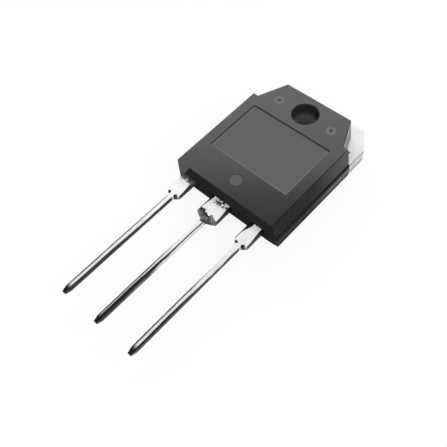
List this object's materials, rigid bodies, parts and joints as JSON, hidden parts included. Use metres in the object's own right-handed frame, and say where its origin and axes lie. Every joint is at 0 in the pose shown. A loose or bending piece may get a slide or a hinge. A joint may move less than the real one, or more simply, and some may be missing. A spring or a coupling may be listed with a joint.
{
  "type": "power transistor",
  "caption": "Flat moulded power transistor with a metal mounting tab, a screw hole through the moulding and three straight leads.",
  "frame": {"origin": "axis of the mounting hole, in the plane of the metal back", "axes": "+Z out of the moulded front face, +Y from the leads towards the tab, +X to the right seen from the front with the leads down"},
  "size_m": [0.0156, 0.0404, 0.005],
  "materials": {
    "molding": "matt dark grey filled epoxy with fine moulded grain",
    "plated_copper": "satin nickel plate on copper",
    "tinned_lead": "bright tin on copper strip",
    "solder": "dull solder",
    "silicon": "metallised silicon",
    "bond_wire": "drawn aluminium wire"
  },
  "bodies": {
    "root": {"mold_body": "molding", "header_plate": "plated_copper", "collector_lead": "tinned_lead", "base_lead": "tinned_lead", "emitter_lead": "tinned_lead", "die_solder": "solder", "transistor_chip": "silicon", "base_wire": "bond_wire", "emitter_wire_left": "bond_wire", "emitter_wire_right": "bond_wire"}
  },
  "joints": []
}
